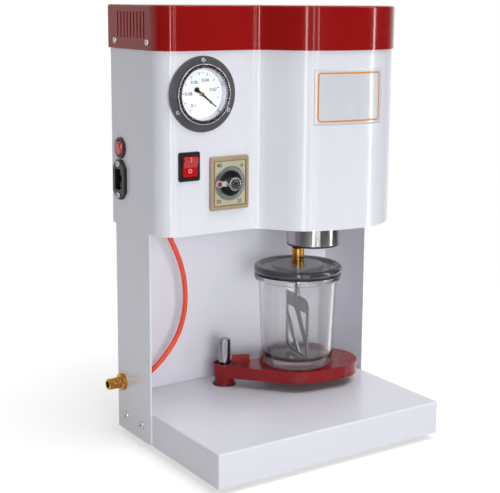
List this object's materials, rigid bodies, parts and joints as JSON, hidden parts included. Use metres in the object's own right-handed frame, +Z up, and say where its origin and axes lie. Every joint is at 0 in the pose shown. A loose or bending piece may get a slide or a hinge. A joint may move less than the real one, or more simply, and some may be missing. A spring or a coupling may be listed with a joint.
{
  "type": "dental vacuum mixer",
  "caption": "Bench mixer with a gear-driven chuck under a rounded head, a swinging arm that carries a lidded clear cup with a paddle, a vacuum gauge, a timer and a hose fitting.",
  "frame": {"origin": "middle of the footprint of base and column, on the bench under the feet", "axes": "+Z up, -Y towards the operator, +X to the operator's right"},
  "size_m": [0.3358, 0.23, 0.508],
  "materials": {
    "white_paint": "glossy enamel on sheet steel",
    "red_paint": "glossy dark red enamel",
    "steel": "ground or plated steel",
    "chrome": "polished plating",
    "brass": "turned, slightly worn",
    "rubber": "matte black",
    "hose": "soft orange hose",
    "black_plastic": "moulded",
    "dark_plastic": "moulded lid, dark grey",
    "red_plastic": "moulded",
    "timer_plastic": "moulded, beige",
    "face": "pale printed plate",
    "gauge_paint": "dark grey enamel",
    "dial": "white printed disc",
    "clear_glass": "clear",
    "clear_plastic": "clear moulded plastic, lightly used",
    "cast": "cast, as machined",
    "knob": "silver grey"
  },
  "bodies": {
    "root": {"base_pan": "white_paint", "bottom_plate": "steel", "bottom_screws": "steel", "rubber_feet": "rubber", "column": "white_paint", "column_screws": "steel", "head_shell": "white_paint", "head_floor": "white_paint", "head_brackets": "steel", "rear_cover": "white_paint", "rear_cover_screws": "steel", "top_cap": "red_paint", "top_cap_screws": "steel", "gauge_flange": "gauge_paint", "gauge_case": "gauge_paint", "gauge_bezel": "chrome", "gauge_glass": "clear_glass", "gauge_dial": "dial", "gauge_screws": "steel", "power_switch_body": "black_plastic", "timer_case": "timer_plastic", "timer_face": "face", "timer_dial": "knob", "mains_inlet": "black_plastic", "inlet_pins": "steel", "inlet_screws": "steel", "side_switch_body": "black_plastic", "hose_fitting": "brass", "fitting_nut": "brass", "vacuum_hose": "hose", "hose_grommet": "rubber", "swing_post": "steel", "post_washer": "steel", "post_nut": "steel", "seal_chamber": "chrome", "chamber_gasket": "rubber", "chamber_screws": "steel", "spindle_bearings": "brass", "gearbox_case": "cast", "gearbox_cover": "cast", "motor_case": "steel", "vacuum_manifold": "brass", "vacuum_tubes": "hose"},
    "needle": {"gauge_needle": "black_plastic"},
    "rocker": {"power_switch_rocker": "red_plastic"},
    "knob": {"timer_knob": "knob"},
    "round_rocker": {"side_switch_rocker": "red_plastic"},
    "bush": {"lift_bush": "steel"},
    "arm": {"arm_sleeve": "red_paint", "arm_tray": "red_paint", "arm_strap": "red_paint"},
    "cup_body": {"cup": "clear_plastic"},
    "lid": {"cup_lid": "dark_plastic", "lid_gasket": "rubber"},
    "paddle": {"paddle_hub": "brass", "paddle_shaft": "steel", "paddle_blade": "steel"},
    "spindle": {"drive_spindle": "steel", "output_gear": "steel"},
    "rotor": {"motor_rotor": "steel"}
  },
  "joints": [
    {"name": "needle_swing", "type": "hinge", "parent": "root", "child": "needle", "pos_m": [-0.1074, -0.0048, 0.4128], "axis": [0, -1, 0], "range_deg": [0, 270]},
    {"name": "rocker_tilt", "type": "hinge", "parent": "root", "child": "rocker", "pos_m": [-0.1245, -0.0038, 0.3347], "axis": [-1, 0, 0], "range_deg": [0, 20]},
    {"name": "knob_turn", "type": "hinge", "parent": "root", "child": "knob", "pos_m": [-0.0738, -0.01, 0.3133], "axis": [0, 1, 0], "range_deg": [0, 300]},
    {"name": "round_rocker_tilt", "type": "hinge", "parent": "root", "child": "round_rocker", "pos_m": [-0.156, 0.093, 0.3467], "axis": [0, 1, 0], "range_deg": [0, 20]},
    {"name": "arm_lift", "type": "slide", "parent": "root", "child": "bush", "axis": [0, 0, 1], "range_m": [0, 0.0223]},
    {"name": "arm_swing", "type": "hinge", "parent": "bush", "child": "arm", "pos_m": [-0.026, 0.0774, 0.0465], "axis": [0, 0, -1], "range_deg": [0, 75]},
    {"name": "cup_shift", "type": "slide", "parent": "arm", "child": "cup_body", "axis": [0.9975, -0.0712, 0], "range_m": [0, 0.02105]},
    {"name": "lid_turn", "type": "hinge", "parent": "cup_body", "child": "lid", "pos_m": [0.053, 0.0355, 0.19], "axis": [0, 0, 1], "continuous": true},
    {"name": "paddle_turn", "type": "hinge", "parent": "lid", "child": "paddle", "pos_m": [0.053, 0.0355, 0.2], "axis": [0, 0, 1], "continuous": true},
    {"name": "spindle_turn", "type": "hinge", "parent": "root", "child": "spindle", "pos_m": [0.074, 0.034, 0.27], "axis": [0, 0, 1], "continuous": true},
    {"name": "motor_turn", "type": "hinge", "parent": "root", "child": "rotor", "pos_m": [0.074, 0.0715, 0.3], "axis": [0, 0, 1], "continuous": true}
  ],
  "couplings": [
    {"joint": "spindle_turn", "follows": "motor_turn", "ratio": -0.25},
    {"joint": "paddle_turn", "follows": "motor_turn", "ratio": -0.25}
  ]
}
